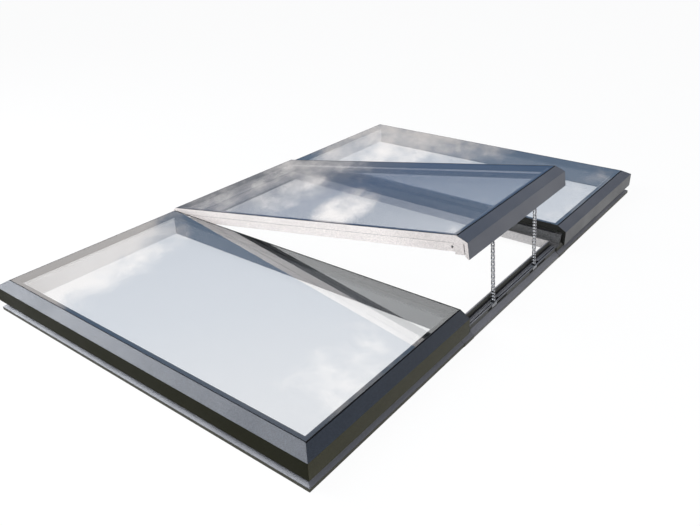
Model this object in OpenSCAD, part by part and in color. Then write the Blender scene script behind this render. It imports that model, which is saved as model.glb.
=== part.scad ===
// Flat roof skylight with three panes in one row.
// The two outer panes are fixed. The middle sash is hinged along the back and is held open
// by two chain drives in the front base rail.
// X runs along the row, -Y is the chain side, +Y is the hinge side, +Z is up.
// The origin is the middle of the base's underside. Sizes are in millimetres.

/* [Overall] */
// Length over the end skirts
length = 2500; // [2200:10:3200]
// Depth over the skirts, chain side to hinge side
depth = 1575; // [1200:5:1900]
// Height from the base's underside to the top of the closed panes
height = 125; // [120:1:150]
// Opening angle of the sash as drawn
open_deg = 10; // [2:0.5:12]

/* [Cap rails] */
// Width of the sloping face, from the pane's edge to the skirt
bevel_w = 39; // [36:1:50]
// Drop of the sloping face
bevel_drop = 22.5; // [18:0.5:25]
// Depth of the skirt's lower edge below the panes
skirt_drop = 83; // [78:1:86]
// Depth of the short skirt above the hinges
hinge_skirt_drop = 62; // [58:1:64]
// Thickness of the hollow skirt
skirt_t = 13; // [10:0.5:14]
// Depth of the cap's head below the panes
head_drop = 29; // [28:0.5:31]
// Wall of the hollow rails
wall = 2.5; // [2:0.1:3]
// Thickness of the side caps' upright plate
plate_t = 3; // [2:0.5:4]

/* [Glass] */
// Thickness of one glass pane
pane_t = 8; // [6:0.5:8]
// Height of the sealed cavity between the panes
cavity_t = 16; // [12:1:16]
// Width of the black joint round the outer pane
joint_w = 3; // [2:0.5:4]
// Thickness of the bonding bed under the outer pane
bed_t = 4; // [3:0.5:5]
// Width of the bonding bed
bed_w = 12; // [11:0.5:14]
// Width of the spacer
spacer_w = 6; // [5:0.5:8]

/* [Base] */
// Height of the upright nose at the foot of the base
nose_h = 12.5; // [10:0.5:14]
// Distance of the nose behind the skirt's face
nose_back = 2; // [1:0.5:3]
// Height of the shelf in the opening bay
shelf_z = 43; // [41:0.5:44]
// Height of the fixed bays' base rails below the panes
base_drop = 37; // [36:0.5:40]
// Wall of the base rails
base_wall = 3; // [2.5:0.1:3.5]
// Height of the inner liners' lower edge
liner_z = 24; // [23:1:28]
// Width of the fixed bays' liners
liner_w = 20; // [16:1:30]
// Distance of the foot's inner edge outside the pane's edge line
foot_in = 3; // [0:0.5:5]
// Radius of the weep holes
weep_r = 2.5; // [1.5:0.25:3]
// Spacing of the weep holes
weep_pitch = 195; // [150:5:300]

/* [Sash] */
// Gap between the sash and the middle of the mullion
sash_gap = 5; // [4:0.5:8]
// Gap between a fixed side cap and the middle of the mullion
fixed_gap = 7; // [6:0.5:10]
// Depth of the sash rails below the panes
sash_drop = 58.5; // [56:0.5:60]
// Depth of the sash's front and back rails below the panes
lip_drop = 67.5; // [66:0.5:70]
// Distance of the hinge axis outside the pane's edge
hinge_out = 29.5; // [28:0.5:32]
// Height of the hinge axis
hinge_z = 50; // [49:0.5:52]
// Radius of the hinge pins
hinge_pin_r = 4; // [3:0.25:5]
// Length of one hinge
hinge_l = 120; // [80:5:180]

/* [Chain drives] */
// Distance of each chain from the middle
chain_x = 175; // [150:5:185]
// Pitch of the chain
chain_pitch = 12.7; // [10:0.1:15]
// Radius of the chain pins
chain_pin_r = 2; // [1.5:0.1:2.2]
// Half height of the chain plates
plate_r = 4.5; // [4:0.1:5]
// Length of one drive housing
drive_l = 330; // [200:10:340]
// Length of the slot in front of each drive
slot_l = 150; // [120:5:200]
// Distance of the slot's middle from the chain
slot_off = 17; // [10:1:20]

/* [Hidden] */
$fn = 48;
far = 60;
touch = 0.05;

// Pane field and the lines that divide it
field_l = length - 2 * bevel_w;
field_d = depth - 2 * bevel_w;
split_x = field_l / 6;
fixed_x = split_x + fixed_gap + plate_t;
sash_x = split_x - sash_gap - plate_t;

// Heights in the glazing stack
under_outer = height - pane_t;
bed_z = under_outer - bed_t;
under_cavity = under_outer - cavity_t;
under_inner = under_cavity - pane_t;
head_z = height - head_drop;
base_top = height - base_drop;
sash_z = height - sash_drop;
lip_z = height - lip_drop;

// Inward offsets from the pane's edge line
inner_pane_in = bed_w + 1.5;
spacer_in = inner_pane_in + 1;
seal_in = spacer_in + 9.5;
seal_w = 10;
dark_in = 20;
rib_in = 2;
rib_w = 10;

// Base rail section
nose_u = bevel_w - nose_back;
foot_top = liner_z - 2;
base_face_u = bevel_w - skirt_t - 4.3;
base_slope_z = nose_h + 9.5;
bay_face_u = base_face_u - 3.7;
bay_slope_z = nose_h + 11.7;
lip_w = 5.3;
slit_w = 3.4;
slit_d = 4;
shelf_rib_w = 3.7;
shelf_rib_h = 2;
groove_w = 8.3;
groove_d = 7;
upstand_t = 4;
seal_gap = 2.5;
upstand_out = -shelf_rib_w - groove_w;
upstand_in = upstand_out - upstand_t;
upstand_top = sash_z - seal_gap;
chamber_top = shelf_z - groove_d - base_wall;
bay_liner_t = 4;
weep_z = 6;

// Mullion section, measured along X from the middle of the row
bay_back = 28.67;
bay_x = split_x - bay_back;
mull_face = fixed_x - plate_t - 5;
mull_end = fixed_x + dark_in;
mull_rib_w = rib_w;
cover_t = 1.2;
cover_over = 4;
cover_top = upstand_top + 2;
split_gap = 0.1;
ledge_t = 4;

// Sash rail section
sash_face_u = bevel_w - skirt_t - 3;
sash_in = 40;
hinge_y = field_d / 2 + hinge_out;
hinge_x = split_x * 0.62;
knuckle_r = 2 * hinge_pin_r;
run_gap = 0.05;

// Chain geometry: the end eye hangs under the sash, the foot goes into the drive
chain_u = 8.5;
pin_drop = 7.5;
bush_l = 6;
link_t = 1.5;
link_gap = 0.15;
bush_r = plate_r - 0.9;
half_inner = bush_l / 2 + link_t;
half_outer = half_inner + link_gap + link_t;
pin_end = half_outer + 0.35;
foot_z = shelf_z - 3;
pin_dy = -field_d / 2 - chain_u - hinge_y;
pin_dz = lip_z - pin_drop - hinge_z;
top_y = hinge_y + pin_dy * cos(open_deg) + pin_dz * sin(open_deg);
top_z = hinge_z - pin_dy * sin(open_deg) + pin_dz * cos(open_deg);
foot_y = -field_d / 2 - chain_u;
chain_len = sqrt(pow(top_y - foot_y, 2) + pow(top_z - foot_z, 2));
chain_lean = asin((foot_y - top_y) / chain_len);
links = ceil(chain_len / chain_pitch);
fit_gap = 0.3;
guide_left = 25;
guide_right = 11;
guide_in = 1;
slot_low = bay_slope_z + 5.3;
slot_top = shelf_z - slit_d - 1.5;
slot_in = 4;
slot_x = plate_r + 0.75;
slot_y = pin_end + 0.5;
drive_w = 24;
drive_top = chamber_top - 2;
ear_t = 2.5;
eye_r = plate_r - 0.5;
eye_half = 6;
ear_in = eye_half + 0.5;
bracket_t = 3;
bracket_l = 30;
service_hole_r = 4.5;
service_hole_x = 32;
service_hole_u = 8;
service_hole_l = 11;

anthracite = [0.22, 0.24, 0.28];
dark_grey = [0.27, 0.27, 0.28];
off_white = [0.88, 0.85, 0.82];
black = [0.05, 0.05, 0.06];
silver = [0.75, 0.76, 0.78];

// Placing helpers. A rail is drawn as a section in (u, z), where u points out of the pane,
// and runs along X on the line of the pane's edge.
module on_front() translate([0, -field_d / 2, 0]) children();
module on_back() translate([0, field_d / 2, 0]) rotate([0, 0, 180]) children();
module on_left(x) translate([-x, 0, 0]) rotate([0, 0, -90]) children();
module on_bay_side(x) translate([-x, 0, 0]) rotate([0, 0, 90]) children();
module to_right() mirror([1, 0, 0]) children();
module both_sides() { children(); to_right() children(); }
module on_sash() {
    translate([0, hinge_y, hinge_z]) rotate([-open_deg, 0, 0])
        translate([0, -hinge_y, -hinge_z]) children();
}

// Straight rail from s0 to s1 along X
module rail(s0, s1) {
    translate([s0, 0, 0]) rotate([90, 0, 90]) mirror([1, 0, 0])
        linear_extrude(height = s1 - s0) children();
}

// Half space past a 45 degree mitre at s; way is 1 at the far end and -1 at the near end
module past_mitre(s, way) {
    big = 6 * far;
    translate([s, 0, -big / 2]) rotate([0, 0, way > 0 ? 45 : 135])
        translate([0, -big / 2, 0]) cube(big);
}

// Wedge that mitres only what lies inside the pane's edge, from depth y0 to y1
module inner_mitre(s, way, y0, y1) {
    translate([s, 0, -far]) linear_extrude(height = height + 2 * far)
        polygon([[0, y0], [0, y1], [way * (y0 - y1), y1]]);
}

// Rail with mitred ends where the flags are set
module mitred_rail(s0, s1, near, far_end) {
    difference() {
        rail(s0 - near * far, s1 + far_end * far) children();
        if (near == 1) past_mitre(s0, -1);
        if (far_end == 1) past_mitre(s1, 1);
    }
}

// Flat ring between two insets from a pane's edges, over the field x0 to x1
module ring(x0, x1, inset0, inset1, z0, z1) {
    difference() {
        slab(x0, x1, inset0, z0, z1);
        slab(x0, x1, inset1, z0 - 1, z1 + 1);
    }
}

module slab(x0, x1, inset, z0, z1) {
    translate([x0 + inset, -field_d / 2 + inset, z0])
        cube([x1 - x0 - 2 * inset, field_d - 2 * inset, z1 - z0]);
}

// Sections of the cap rails
module cap_outline(drop) {
    polygon([
        [0, height], [bevel_w, height - bevel_drop], [bevel_w, height - drop],
        [bevel_w - 4, height - drop], [bevel_w - skirt_t, height - drop + 10],
        [bevel_w - skirt_t, head_z], [-bed_w, head_z], [-bed_w, bed_z], [0, bed_z]
    ]);
}

module cap_section(drop) {
    slope = bevel_drop / bevel_w;
    rise = wall * sqrt(1 + slope * slope);
    inner_face = bevel_w - skirt_t - wall / 2;
    difference() {
        cap_outline(drop);
        polygon([
            [wall - bed_w, bed_z - wall], [wall, bed_z - wall],
            [wall, height - rise - slope * wall],
            [inner_face, height - rise - slope * inner_face],
            [inner_face, head_z + wall], [wall - bed_w, head_z + wall]
        ]);
        polygon([
            [inner_face + wall, height - rise - slope * (inner_face + wall)],
            [bevel_w - wall, height - rise - slope * (bevel_w - wall)],
            [bevel_w - wall, height - drop + wall + 1],
            [inner_face + wall, height - drop + 10 + wall]
        ]);
    }
}

module side_cap_section(ledge) {
    plate_low = ledge > 0 ? head_z + ledge_t : head_z + wall - 0.5;
    difference() {
        union() {
            polygon([
                [0, height], [plate_t, height], [plate_t, plate_low], [0, plate_low],
                [0, head_z], [-bed_w, head_z], [-bed_w, bed_z], [0, bed_z]
            ]);
            if (ledge > 0) translate([-touch, head_z]) square([plate_t + ledge + touch, ledge_t]);
        }
        translate([wall - bed_w, head_z + wall])
            square([bed_w - 2 * wall, bed_z - head_z - 2 * wall]);
    }
}

// Side cap on the line x0: a rail along the pane and an end plate over each cap rail
module side_cap(x0, ledge, back_drop) {
    on_bay_side(x0) {
        mitred_rail(-field_d / 2, field_d / 2, 1, 1) side_cap_section(ledge);
    }
    translate([-x0, 0, 0]) {
        rotate([90, 0, 90]) linear_extrude(height = plate_t) {
            translate([-field_d / 2, 0]) mirror([1, 0]) cap_outline(skirt_drop);
            translate([field_d / 2, 0]) cap_outline(back_drop);
        }
    }
}

// Sections of the base rails
module base_section() {
    mid_z = (liner_z + base_top) / 2;
    inner_w = base_face_u + dark_in - 2 * base_wall;
    difference() {
        polygon([
            [nose_u, 0], [nose_u, nose_h], [base_face_u, base_slope_z], [base_face_u, base_top],
            [-rib_in, base_top], [-rib_in, head_z], [-rib_in - rib_w, head_z],
            [-rib_in - rib_w, base_top], [-dark_in, base_top], [-dark_in, liner_z],
            [foot_in, liner_z], [foot_in, 0]
        ]);
        foot_chamber(base_face_u, base_slope_z, foot_top);
        translate([base_wall - dark_in, foot_top + base_wall])
            square([inner_w, mid_z - foot_top - base_wall]);
        translate([base_wall - dark_in, mid_z + base_wall])
            square([inner_w, base_top - mid_z - 2 * base_wall]);
    }
}

// Hollow of the foot, up to a given height
module foot_chamber(face_u, slope_z, top) {
    polygon([
        [foot_in + base_wall, base_wall], [nose_u - base_wall, base_wall],
        [nose_u - base_wall, nose_h - 2], [face_u - base_wall, slope_z - 2],
        [face_u - base_wall, top], [foot_in + base_wall, top]
    ]);
}

// The foot alone, which runs on below the mullions
module foot_section() {
    difference() {
        polygon([
            [nose_u, 0], [nose_u, nose_h], [base_face_u, base_slope_z], [base_face_u, liner_z],
            [foot_in, liner_z], [foot_in, 0]
        ]);
        foot_chamber(base_face_u, base_slope_z, foot_top);
    }
}

// Rail of the opening bay: the chain side has a deep chamber for the drives
module bay_section(deep) {
    slit_u = bay_face_u - lip_w;
    difference() {
        polygon([
            [nose_u, 0], [nose_u, nose_h], [bay_face_u, bay_slope_z], [bay_face_u, shelf_z],
            [slit_u, shelf_z], [slit_u, shelf_z - slit_d], [slit_u - slit_w, shelf_z - slit_d],
            [slit_u - slit_w, shelf_z], [0, shelf_z], [0, shelf_z + shelf_rib_h],
            [-shelf_rib_w, shelf_z + shelf_rib_h], [-shelf_rib_w, shelf_z - groove_d],
            [upstand_out, shelf_z - groove_d], [upstand_out, upstand_top],
            [upstand_in, upstand_top], [upstand_in, deep ? base_wall : liner_z],
            [deep ? upstand_in + base_wall : foot_in, deep ? 0 : liner_z], [foot_in, 0]
        ]);
        foot_chamber(bay_face_u, bay_slope_z, chamber_top);
        translate([upstand_in + base_wall, deep ? base_wall : liner_z + base_wall])
            square([
                foot_in - upstand_in - (deep ? -base_wall : base_wall),
                chamber_top - base_wall - (deep ? 0 : liner_z)
            ]);
    }
}

// Row of weep holes through the nose, centred between s0 and s1
module weep_holes(s0, s1) {
    count = max(2, floor(abs(s1 - s0) / weep_pitch));
    first = (s0 + s1) / 2 - (count - 1) * weep_pitch / 2;
    for (i = [0 : count - 1])
        translate([first + i * weep_pitch, -nose_u - 1, weep_z]) rotate([-90, 0, 0])
            cylinder(r = weep_r, h = base_wall + 2);
}

// Long base rail of a fixed bay; flip puts the mitred end at the far side
module base_long_rail(flip) {
    color(dark_grey) difference() {
        union() {
            if (flip) mitred_rail(mull_end, field_l / 2, 0, 1) base_section();
            else mitred_rail(-field_l / 2, -mull_end, 1, 0) base_section();
            if (flip) rail(bay_x, mull_end) foot_section();
            else rail(-mull_end, -bay_x) foot_section();
        }
        weep_holes((flip ? 1 : -1) * field_l / 2, (flip ? 1 : -1) * mull_end);
    }
}

module base_front_left() on_front() base_long_rail(false);
module base_back_left() on_back() base_long_rail(true);
module base_end_left() {
    color(dark_grey) on_left(field_l / 2) difference() {
        mitred_rail(-field_d / 2, field_d / 2, 1, 1) base_section();
        weep_holes(-depth / 2, depth / 2);
    }
}
module base_front_right() to_right() base_front_left();
module base_back_right() to_right() base_back_left();
module base_end_right() to_right() base_end_left();

// Bay rails butt against the mullions
module bay_rail(deep) {
    difference() {
        rail(-bay_x, bay_x) bay_section(deep);
        weep_holes(-bay_x, bay_x);
    }
}

// Oblong hole through the shelf beside each chain, for reaching the drive
module long_hole() {
    for (side = [-1, 1]) translate([side * service_hole_l / 2, 0, 0])
        cylinder(r = service_hole_r, h = shelf_z);
    translate([-service_hole_l / 2, -service_hole_r, 0])
        cube([service_hole_l, 2 * service_hole_r, shelf_z]);
}

module base_front_centre() {
    color(dark_grey) on_front() difference() {
        bay_rail(true);
        for (x = [-chain_x, chain_x]) {
            translate([x - guide_left - fit_gap, -bay_face_u - 1, drive_top - fit_gap])
                cube([guide_left + guide_right + 2 * fit_gap, bay_face_u + 1 - guide_in + fit_gap, shelf_z]);
            translate([x + slot_off - slot_l / 2, -bay_face_u - 1, slot_low])
                cube([slot_l, bay_face_u + 1 - slot_in, slot_top - slot_low]);
            translate([x + service_hole_x, -service_hole_u, chamber_top - 1]) long_hole();
        }
    }
}

module base_back_centre() { color(dark_grey) on_back() bay_rail(false); }

// Mullion: low upstand on the bay's side, high block under the fixed pane's edge
module mullion_section() {
    rib_x = fixed_x + rib_in;
    trough_x = bay_x + upstand_t;
    difference() {
        polygon([
            [bay_x, liner_z], [bay_x, upstand_top], [trough_x, upstand_top], [trough_x, shelf_z],
            [mull_face, shelf_z], [mull_face, base_top], [rib_x, base_top], [rib_x, head_z],
            [rib_x + mull_rib_w, head_z], [rib_x + mull_rib_w, base_top], [mull_end, base_top],
            [mull_end, liner_z]
        ]);
        translate([bay_x + base_wall, liner_z + base_wall])
            square([mull_face - bay_x - base_wall, shelf_z - liner_z - 2 * base_wall]);
        translate([mull_face + base_wall, liner_z + base_wall])
            square([mull_end - mull_face - 2 * base_wall, base_top - liner_z - 2 * base_wall]);
    }
}

mullion_l = field_d + 2 * base_face_u;

// The low upstand stops where it meets those of the bay rails
module mullion_right() {
    color(dark_grey) difference() {
        translate([0, mullion_l / 2, 0]) rotate([90, 0, 0])
            linear_extrude(height = mullion_l) mullion_section();
        for (y = [field_d / 2 + upstand_out, -field_d / 2 - upstand_out - far])
            translate([0, y, shelf_z]) cube([bay_x + upstand_t + touch, far, far]);
    }
}
module mullion_left() to_right() mullion_right();

// Sheet covers over the joints of the base rails
module joint_cover_section(top) {
    polygon([
        [nose_u, 0], [nose_u + cover_t, 0], [nose_u + cover_t, nose_h + cover_t / 2],
        [base_face_u + cover_t, base_slope_z + cover_t / 2], [base_face_u + cover_t, top],
        [base_face_u, top], [base_face_u, base_slope_z], [nose_u, nose_h]
    ]);
}

module joint_cover() {
    low_top = height - skirt_drop + 8;
    beside_sash = sash_x + plate_t + 1.5;
    rail(mull_face - 1, mull_end + cover_over) joint_cover_section(low_top);
    rail(beside_sash, mull_face - 1) joint_cover_section(cover_top);
    rail(bay_x - cover_over, beside_sash) joint_cover_section(shelf_z);
}

module joint_covers_front() color(anthracite) on_front() both_sides() joint_cover();
module joint_covers_back() color(anthracite) on_back() both_sides() joint_cover();

// Light liners inside the three wells
module liner_section() {
    difference() {
        translate([-dark_in - liner_w, liner_z]) square([liner_w, base_top - liner_z]);
        translate([wall - dark_in - liner_w, liner_z + wall])
            square([liner_w - 2 * wall, base_top - liner_z - 2 * wall]);
    }
}

module liner_left() {
    color(off_white) {
        on_front() mitred_rail(split_gap - field_l / 2, -fixed_x - split_gap, 1, 1) liner_section();
        on_back() mitred_rail(fixed_x + split_gap, field_l / 2 - split_gap, 1, 1) liner_section();
        on_left(field_l / 2) mitred_rail(-field_d / 2, field_d / 2, 1, 1) liner_section();
        on_bay_side(fixed_x) mitred_rail(-field_d / 2, field_d / 2, 1, 1) liner_section();
    }
}
module liner_right() to_right() liner_left();

module bay_liner_section(line) {
    translate([line - bay_liner_t, liner_z]) square([bay_liner_t, upstand_top - liner_z - 2]);
}

module liner_centre() {
    side_s = field_d / 2 + upstand_in;
    color(off_white) {
        on_front() difference() {
            rail(-bay_x, bay_x) bay_liner_section(upstand_in);
            past_mitre_at(bay_x - split_gap, -upstand_in);
        }
        on_back() difference() {
            rail(-bay_x, bay_x) bay_liner_section(upstand_in);
            past_mitre_at(bay_x - split_gap, -upstand_in);
        }
        both_sides() on_left(bay_x) mitred_rail(-side_s, side_s, 1, 1) bay_liner_section(0);
    }
}

// Both mitres of a strip whose outer face lies at depth y0
module past_mitre_at(s, y0) {
    translate([0, y0, 0]) {
        past_mitre(s, 1);
        past_mitre(-s, -1);
    }
}

// Cap rails of the fixed bays, mitred at the outer corners
module fixed_cap(flip) {
    color(anthracite) difference() {
        if (flip) mitred_rail(fixed_x, field_l / 2, 0, 1) cap_section(skirt_drop);
        else mitred_rail(-field_l / 2, -fixed_x, 1, 0) cap_section(skirt_drop);
        inner_mitre(flip ? fixed_x : -fixed_x, flip ? -1 : 1, 0, bed_w + 1);
    }
}

module cap_front_left() on_front() fixed_cap(false);
module cap_back_left() on_back() fixed_cap(true);
module cap_end_left() {
    color(anthracite) on_left(field_l / 2)
        mitred_rail(-field_d / 2, field_d / 2, 1, 1) cap_section(skirt_drop);
}
module cap_front_right() to_right() cap_front_left();
module cap_back_right() to_right() cap_back_left();
module cap_end_right() to_right() cap_end_left();

module side_cap_left() { color(anthracite) side_cap(fixed_x, fixed_x - plate_t - mull_face, skirt_drop); }
module side_cap_right() to_right() side_cap_left();

// Black seals below the side caps' ledges
module edge_seals() {
    color(black) both_sides()
        translate([-fixed_x - rib_in, -field_d / 2 + bed_w, base_top])
            cube([rib_in + plate_t + 2, field_d - 2 * bed_w, head_z - base_top]);
}

// Glass units: each bay is given by its two edge lines
module glass_unit_outer(x0, x1) color([0.75, 0.85, 0.9, 0.4]) slab(x0, x1, joint_w, under_outer, height);
module glass_unit_inner(x0, x1) {
    color([0.75, 0.85, 0.9, 0.4]) slab(x0, x1, inner_pane_in, under_inner, under_cavity);
}
module glass_unit_spacer(x0, x1) {
    color(off_white) ring(x0, x1, spacer_in, spacer_in + spacer_w, under_cavity, under_outer);
}
module glass_unit_gasket(x0, x1) {
    color(black) union() {
        ring(x0, x1, 0, joint_w, bed_z, height);
        ring(x0, x1, joint_w - touch, bed_w, bed_z, under_outer);
    }
}
module glass_unit_seal(x0, x1) {
    color(black) ring(x0, x1, seal_in, seal_in + seal_w, base_top, under_inner);
}

module pane_outer_left() glass_unit_outer(-field_l / 2, -fixed_x);
module pane_inner_left() glass_unit_inner(-field_l / 2, -fixed_x);
module spacer_left() glass_unit_spacer(-field_l / 2, -fixed_x);
module gasket_left() glass_unit_gasket(-field_l / 2, -fixed_x);
module glass_seal_left() glass_unit_seal(-field_l / 2, -fixed_x);
module pane_outer_right() to_right() pane_outer_left();
module pane_inner_right() to_right() pane_inner_left();
module spacer_right() to_right() spacer_left();
module gasket_right() to_right() gasket_left();
module glass_seal_right() to_right() glass_seal_left();
module pane_outer_centre() on_sash() glass_unit_outer(-sash_x, sash_x);
module pane_inner_centre() on_sash() glass_unit_inner(-sash_x, sash_x);
module spacer_centre() on_sash() glass_unit_spacer(-sash_x, sash_x);
module gasket_centre() on_sash() glass_unit_gasket(-sash_x, sash_x);
module glass_seal_centre() on_sash() glass_unit_seal(-sash_x, sash_x);

// Sash caps
module sash_cap(drop) {
    difference() {
        rail(-sash_x, sash_x) cap_section(drop);
        inner_mitre(sash_x, 1, 0, bed_w + 1);
        inner_mitre(-sash_x, -1, 0, bed_w + 1);
    }
}

module sash_cap_front() { color(anthracite) on_sash() on_front() sash_cap(skirt_drop); }
module sash_cap_back() { color(anthracite) on_sash() on_back() sash_cap(hinge_skirt_drop); }
module sash_side_cap_right() color(off_white) on_sash() sash_side_cap();
module sash_side_cap_left() to_right() sash_side_cap_right();

module sash_side_cap() {
    translate([sash_x, 0, 0]) {
        rotate([0, 0, 90]) mitred_rail(-field_d / 2, field_d / 2, 1, 1) side_cap_section(0);
        rotate([90, 0, 90]) linear_extrude(height = plate_t) {
            translate([-field_d / 2, 0]) mirror([1, 0]) sash_end_outline(skirt_drop);
            translate([field_d / 2, 0]) sash_end_outline(hinge_skirt_drop);
        }
    }
}

// End plates of the sash stop where its side rails begin
module sash_end_outline(drop) {
    intersection() {
        cap_outline(drop);
        translate([split_gap - sash_corner, 0]) square([bevel_w + sash_corner, height]);
    }
}

// Sash rails under the caps
sash_corner = -upstand_out - 0.5;

module sash_long_section() {
    polygon([
        [sash_face_u, head_z], [sash_face_u, lip_z], [-sash_corner, lip_z], [-sash_corner, sash_z],
        [-sash_in, sash_z], [-sash_in, base_top], [-bed_w, base_top], [-bed_w, head_z]
    ]);
}

module sash_long_rail() {
    end_x = sash_x + plate_t;
    difference() {
        rail(-end_x, end_x) sash_long_section();
        rail(-sash_x, sash_x) translate([wall - sash_corner, lip_z + wall])
            square([sash_face_u + sash_corner - 2 * wall, head_z - lip_z - 2 * wall]);
        inner_mitre(end_x, 1, sash_corner, sash_in + 1);
        inner_mitre(-end_x, -1, sash_corner, sash_in + 1);
    }
}

module sash_rail_front() color(off_white) on_sash() on_front() sash_long_rail();
module sash_rail_back() color(off_white) on_sash() on_back() sash_long_rail();

module sash_side_section() {
    low_gap = head_z + wall - 1;
    difference() {
        polygon([
            [plate_t, low_gap], [plate_t, sash_z], [-sash_in, sash_z], [-sash_in, base_top],
            [-bed_w, base_top], [-bed_w, head_z], [0, head_z], [0, low_gap]
        ]);
        translate([wall - sash_in, sash_z + wall])
            square([sash_in + plate_t - 2 * wall, base_top - sash_z - 2 * wall]);
    }
}

// The side rails' mitres start at the sash's outer face
module sash_side_rail() {
    end_s = field_d / 2 - sash_corner - plate_t;
    vent_r = 4;
    translate([sash_x, 0, 0]) rotate([0, 0, 90]) difference() {
        mitred_rail(-end_s, end_s, 1, 1) sash_side_section();
        translate([-end_s + 6, -plate_t - 1, base_top - 4]) rotate([-90, 0, 0])
            cylinder(r = vent_r, h = wall + 2);
    }
}

module sash_rail_right() color(off_white) on_sash() sash_side_rail();
module sash_rail_left() to_right() sash_rail_right();

// Seal under the sash, which closes on the upstands
module sash_seal() {
    seal_h = seal_gap - 0.5;
    out_y = field_d / 2 + upstand_out - 0.5;
    out_x = bay_x + upstand_t;
    in_y = out_y - upstand_t - 2;
    in_x = out_x - upstand_t - 2;
    color(black) on_sash() translate([0, 0, sash_z - seal_h]) linear_extrude(height = seal_h)
        difference() {
            square([2 * out_x, 2 * out_y], center = true);
            square([2 * in_x, 2 * in_y], center = true);
        }
}

// Bulb seals in the grooves of the bay rails
module groove_seal() {
    bulb_w = groove_w - 0.4;
    floor_z = shelf_z - groove_d;
    rail(1 - bay_x, bay_x - 1) difference() {
        union() {
            translate([upstand_out + 0.2, floor_z]) square([bulb_w, groove_d]);
            translate([upstand_out + groove_w / 2, shelf_z]) circle(r = bulb_w / 2);
        }
        translate([upstand_out + groove_w / 2, shelf_z]) circle(r = bulb_w / 2 - 1.4);
    }
}

module groove_seals() {
    color(black) {
        on_front() groove_seal();
        on_back() groove_seal();
    }
}

// Hinges: two knuckles on the base leaf, one on the sash leaf
module knuckle(s0, s1) {
    translate([s0, -hinge_out, hinge_z]) rotate([0, 90, 0]) cylinder(r = knuckle_r, h = s1 - s0);
}

module hinge_bore() {
    translate([-hinge_l, -hinge_out, hinge_z]) rotate([0, 90, 0])
        cylinder(r = hinge_pin_r + run_gap, h = 2 * hinge_l);
}

knuckle_third = hinge_l / 3;
knuckle_gap = 0.4;

module hinge_base_leaf() {
    foot_t = 4;
    difference() {
        for (s = [-hinge_l / 2, knuckle_third / 2 + knuckle_gap]) {
            knuckle(s, s + knuckle_third - knuckle_gap);
            rail(s, s + knuckle_third - knuckle_gap) polygon([
                [bay_face_u, shelf_z - 8], [hinge_out, hinge_z - knuckle_r],
                [hinge_out, hinge_z], [bay_face_u, shelf_z]
            ]);
        }
        hinge_bore();
    }
    rail(-hinge_l / 2, hinge_l / 2) translate([bay_face_u, bay_slope_z + 2])
        square([foot_t, shelf_z - bay_slope_z - 8]);
}

module hinge_sash_leaf() {
    leaf_t = bevel_w - skirt_t - sash_face_u;
    leaf_u = sash_face_u;
    leaf_top = head_z - 4;
    half = knuckle_third / 2 - knuckle_gap;
    difference() {
        union() {
            knuckle(-half, half);
            rail(-half, half) polygon([
                [leaf_u, hinge_z + knuckle_r + 3], [leaf_u + leaf_t, hinge_z + knuckle_r + 3],
                [hinge_out + knuckle_r - 1, hinge_z], [leaf_u, hinge_z]
            ]);
            rail(-hinge_l / 2, hinge_l / 2) translate([leaf_u, lip_z + 3])
                square([leaf_t, leaf_top - lip_z - 3]);
            rail(-half, half) translate([leaf_u, hinge_z + knuckle_r + 2])
                square([leaf_t, leaf_top - hinge_z - knuckle_r - 2]);
        }
        hinge_bore();
    }
}

module at_hinges() {
    for (x = [-hinge_x, hinge_x]) translate([x, 0, 0]) on_back() children();
}

module hinge_base_leaves() color(silver) at_hinges() hinge_base_leaf();
module hinge_sash_leaves() color(silver) on_sash() at_hinges() hinge_sash_leaf();
module hinge_pins() {
    color(silver) at_hinges() translate([-hinge_l / 2, -hinge_out, hinge_z]) rotate([0, 90, 0])
        cylinder(r = hinge_pin_r, h = hinge_l);
}

// Chains. The local frame has its origin at the top pin and runs down the chain along -Z
module along_chain(x) {
    translate([x, top_y, top_z]) rotate([chain_lean, 0, 0]) children();
}

module link_plate(z0) {
    rotate([90, 0, 0]) translate([0, 0, -link_t / 2]) linear_extrude(height = link_t) {
        translate([0, z0]) circle(r = plate_r);
        translate([0, z0 - chain_pitch]) circle(r = plate_r);
        translate([1 - plate_r, z0 - chain_pitch]) square([2 * plate_r - 2, chain_pitch]);
    }
}

module cross_pin(z0, r, half) {
    translate([0, half, z0]) rotate([90, 0, 0]) cylinder(r = r, h = 2 * half);
}

module bush_link(i) {
    z0 = -i * chain_pitch;
    difference() {
        union() {
            for (side = [-1, 1])
                translate([0, side * (half_inner - link_t / 2), 0]) link_plate(z0);
            cross_pin(z0, bush_r, half_inner - link_t / 2);
            cross_pin(z0 - chain_pitch, bush_r, half_inner - link_t / 2);
        }
        cross_pin(z0, chain_pin_r + run_gap, pin_end);
        cross_pin(z0 - chain_pitch, chain_pin_r + run_gap, pin_end);
    }
}

module pin_link(i) {
    z0 = -i * chain_pitch;
    for (side = [-1, 1])
        translate([0, side * (half_outer - link_t / 2), 0]) link_plate(z0);
    cross_pin(z0, chain_pin_r, pin_end);
    cross_pin(z0 - chain_pitch, chain_pin_r, pin_end);
}

// End eye: swivels on the bracket's pin and carries the first pin of the chain
module end_eye() {
    tongue = bush_l / 2 - 0.1;
    difference() {
        union() {
            translate([-eye_half, 0, 0]) rotate([0, 90, 0]) cylinder(r = eye_r, h = 2 * eye_half);
            translate([1 - plate_r, -tongue, -chain_pitch])
                cube([2 * plate_r - 2, 2 * tongue, chain_pitch - 1]);
            cross_pin(-chain_pitch, plate_r - 1, tongue);
        }
        translate([-2 * eye_half, 0, 0]) rotate([0, 90, 0])
            cylinder(r = chain_pin_r + run_gap, h = 4 * eye_half);
        cross_pin(-chain_pitch, chain_pin_r + run_gap, pin_end);
    }
}

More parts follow.
